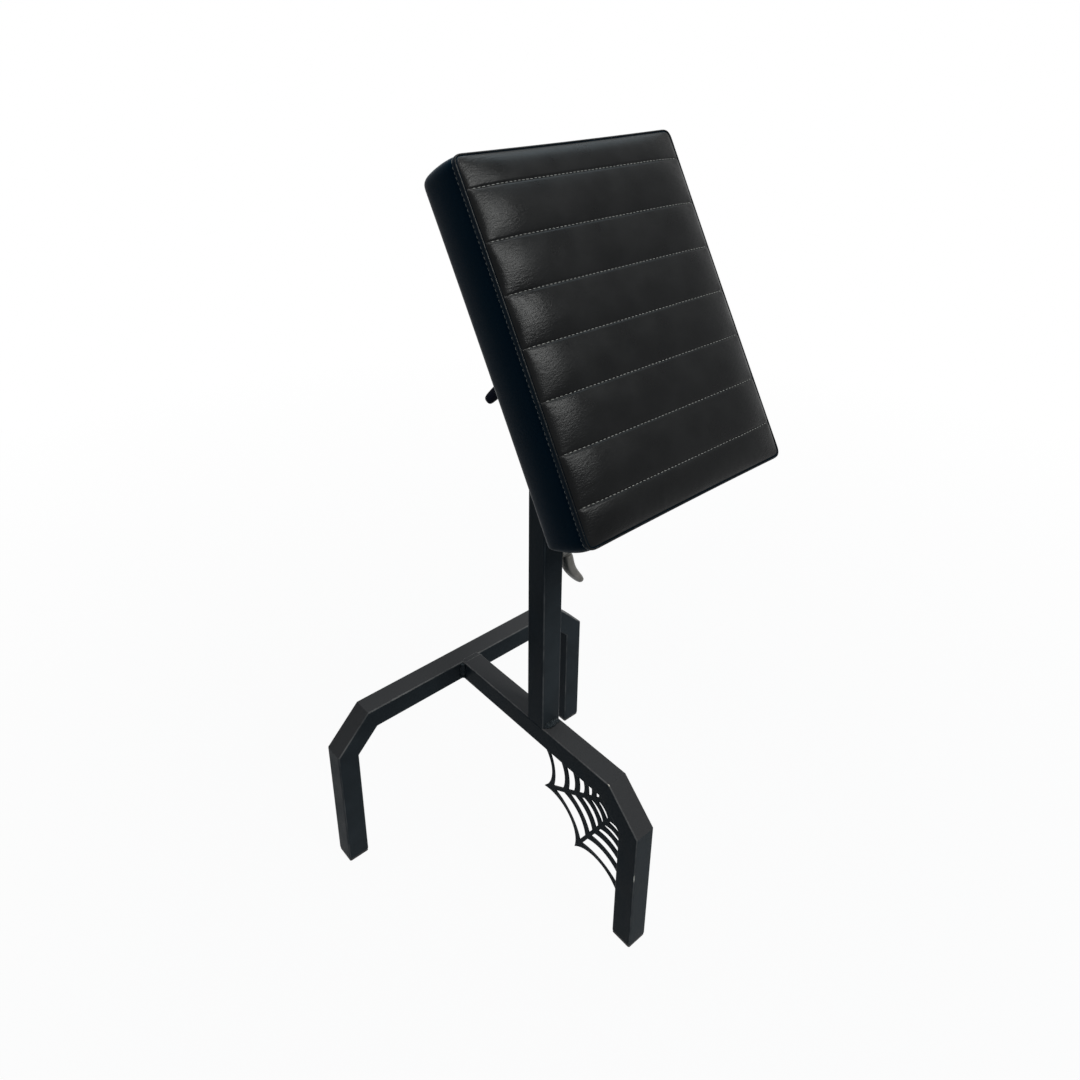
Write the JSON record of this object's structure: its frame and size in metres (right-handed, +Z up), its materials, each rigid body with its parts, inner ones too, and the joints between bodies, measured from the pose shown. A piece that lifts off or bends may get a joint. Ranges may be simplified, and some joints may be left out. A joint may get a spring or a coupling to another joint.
{
  "type": "tattoo arm rest stand",
  "caption": "Free-standing tattoo arm rest: a channel-stitched pad that tilts on a telescoping square-tube post, on a welded T-plan base with a spider-web gusset.",
  "frame": {"origin": "on the floor, at the bottom centre of the bounding box with the pad tilted as pictured", "axes": "+X to the stand's own right along the cross bar, +Y to its back, away from the front leg and from the pad's face, +Z up"},
  "size_m": [0.56, 0.4967, 1.2294],
  "materials": {
    "frame_coat": "satin black powder coat",
    "mast_coat": "satin black powder coat, lightly rubbed by the clamp",
    "grey_cast": "grey coated zinc casting",
    "black_cast": "black coated zinc casting",
    "plated_steel": "bright zinc plating",
    "brass_tip": "turned brass",
    "black_plastic": "moulded matt black plastic",
    "pad_vinyl": "satin black vinyl with a fine grain and grey stitching",
    "pad_foam": "open cell polyurethane foam",
    "pad_board": "birch plywood",
    "back_weave": "black dust cloth"
  },
  "bodies": {
    "base": {"cross_bar": "frame_coat", "left_corner_tube": "frame_coat", "right_corner_tube": "frame_coat", "left_leg_tube": "frame_coat", "right_leg_tube": "frame_coat", "stem_bar": "frame_coat", "front_corner_tube": "frame_coat", "front_leg_tube": "frame_coat", "left_foot_cap": "black_plastic", "right_foot_cap": "black_plastic", "front_foot_cap": "black_plastic", "post_outer_tube": "frame_coat", "post_guide_bush": "black_plastic", "height_weld_nut": "frame_coat", "web_gusset": "frame_coat", "frame_weld_beads": "frame_coat"},
    "inner_post": {"inner_post_tube": "mast_coat", "inner_post_glide": "black_plastic", "pivot_knuckle": "mast_coat"},
    "pad_head": {"pad_mount_plate": "frame_coat", "left_tilt_ear": "frame_coat", "right_tilt_ear": "frame_coat", "ear_bridge": "frame_coat", "friction_discs": "black_plastic", "tilt_weld_nut": "frame_coat", "pad_screws": "plated_steel", "board_nut_plates": "plated_steel", "pad_board": "pad_board", "foam_block": "pad_foam", "pad_cover": "pad_vinyl", "back_cloth": "back_weave"},
    "tilt_clamp": {"tilt_clamp_stud": "plated_steel", "tilt_lever_screw": "plated_steel", "tilt_lever_spring": "plated_steel", "tilt_lever_washer": "plated_steel"},
    "tilt_handle": {"tilt_lever_handle": "black_cast"},
    "height_clamp": {"height_clamp_stud": "plated_steel", "height_thrust_tip": "brass_tip", "height_lever_screw": "plated_steel", "height_lever_spring": "plated_steel"},
    "height_handle": {"height_lever_handle": "grey_cast"}
  },
  "joints": [
    {"name": "height_slide", "type": "slide", "parent": "base", "child": "inner_post", "axis": [0, 0, 1], "range_m": [-0.15, 0.105]},
    {"name": "pad_tilt", "type": "hinge", "parent": "inner_post", "child": "pad_head", "pos_m": [0, 0.0144, 0.949], "axis": [1, 0, 0], "range_deg": [-60, 30]},
    {"name": "tilt_lever_turn", "type": "hinge", "parent": "pad_head", "child": "tilt_clamp", "pos_m": [0, 0.0144, 0.949], "axis": [-1, 0, 0], "range_deg": [-30, 150]},
    {"name": "tilt_lever_lift", "type": "slide", "parent": "tilt_clamp", "child": "tilt_handle", "axis": [-1, 0, 0], "range_m": [0, 0.0035], "stiffness_N_per_m": 1500, "springref_m": -0.003},
    {"name": "height_lever_turn", "type": "hinge", "parent": "base", "child": "height_clamp", "pos_m": [0.028, 0.0144, 0.618], "axis": [1, 0, 0], "range_deg": [-30, 150]},
    {"name": "height_lever_lift", "type": "slide", "parent": "height_clamp", "child": "height_handle", "axis": [1, 0, 0], "range_m": [0, 0.0035], "stiffness_N_per_m": 1500, "springref_m": -0.003}
  ]
}
